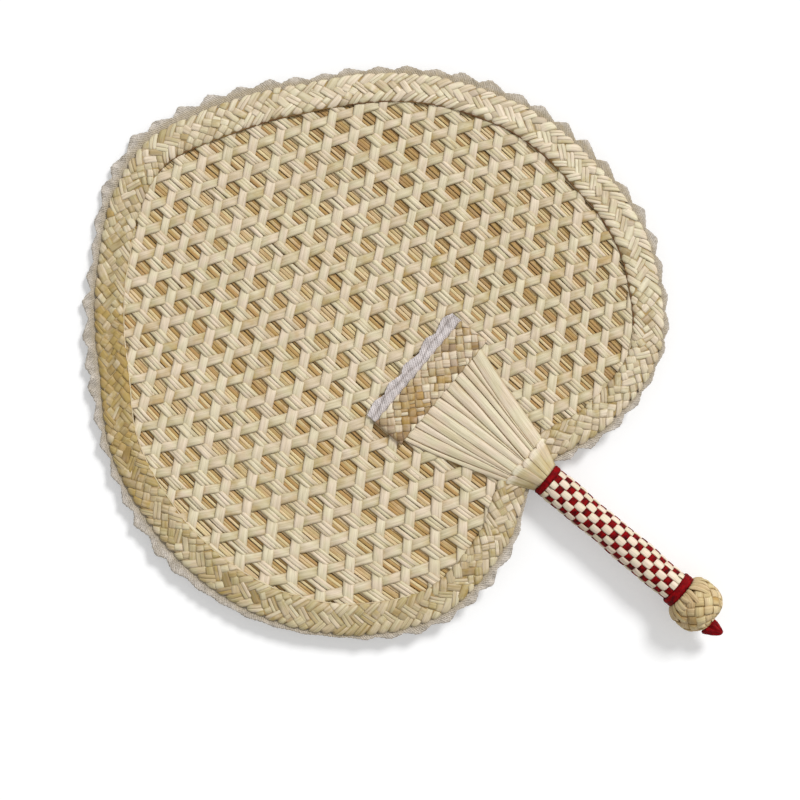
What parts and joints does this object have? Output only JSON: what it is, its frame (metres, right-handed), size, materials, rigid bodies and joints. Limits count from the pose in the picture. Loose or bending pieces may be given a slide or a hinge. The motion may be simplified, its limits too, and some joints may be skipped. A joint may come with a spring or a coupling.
{
  "type": "woven hand fan",
  "caption": "Heart-shaped palm leaf hand fan with an open hexagon weave, plaited rim, scalloped lace edging and a ribbon-woven straw handle.",
  "frame": {"origin": "under the middle of the bounding box, at the height of the knob's lowest point", "axes": "+Y from the handle to the leaf's far edge, +X to the right, +Z out of the front face, leaf level"},
  "size_m": [0.3284, 0.4238, 0.03],
  "materials": {
    "pale_palm": "dry split palm leaf",
    "cream_palm": "dry plaited palm leaf",
    "golden_palm": "dry golden straw",
    "red_ribbon": "dyed ribbon",
    "lace_cloth": "thin white lace cloth"
  },
  "bodies": {
    "root": {"rib_mat": "golden_palm", "front_weave": "pale_palm", "back_weave": "pale_palm", "lace_edging": "lace_cloth", "front_rim_plait": "cream_palm", "front_neck_wrap": "pale_palm", "front_splay_straw_01": "pale_palm", "front_splay_straw_02": "pale_palm", "front_splay_straw_03": "pale_palm", "front_splay_straw_04": "pale_palm", "front_splay_straw_05": "pale_palm", "front_splay_straw_06": "pale_palm", "front_splay_straw_07": "pale_palm", "front_splay_straw_08": "pale_palm", "front_splay_straw_09": "pale_palm", "front_splay_straw_10": "pale_palm", "front_splay_straw_11": "pale_palm", "front_splay_straw_12": "pale_palm", "front_cross_plait": "cream_palm", "front_cross_lace": "lace_cloth", "back_rim_plait": "cream_palm", "back_neck_wrap": "pale_palm", "back_splay_straw_01": "pale_palm", "back_splay_straw_02": "pale_palm", "back_splay_straw_03": "pale_palm", "back_splay_straw_04": "pale_palm", "back_splay_straw_05": "pale_palm", "back_splay_straw_06": "pale_palm", "back_splay_straw_07": "pale_palm", "back_splay_straw_08": "pale_palm", "back_splay_straw_09": "pale_palm", "back_splay_straw_10": "pale_palm", "back_splay_straw_11": "pale_palm", "back_splay_straw_12": "pale_palm", "back_cross_plait": "cream_palm", "back_cross_lace": "lace_cloth", "handle_core": "cream_palm", "neck_binding": "red_ribbon", "grip_straw_01": "pale_palm", "grip_straw_02": "pale_palm", "grip_straw_03": "pale_palm", "grip_straw_04": "pale_palm", "grip_straw_05": "pale_palm", "grip_straw_06": "pale_palm", "grip_straw_07": "pale_palm", "grip_straw_08": "pale_palm", "grip_straw_09": "pale_palm", "grip_straw_10": "pale_palm", "grip_straw_11": "pale_palm", "grip_straw_12": "pale_palm", "grip_straw_13": "pale_palm", "grip_ribbon": "red_ribbon", "end_binding": "red_ribbon", "knob": "cream_palm", "red_tip": "red_ribbon"}
  },
  "joints": []
}
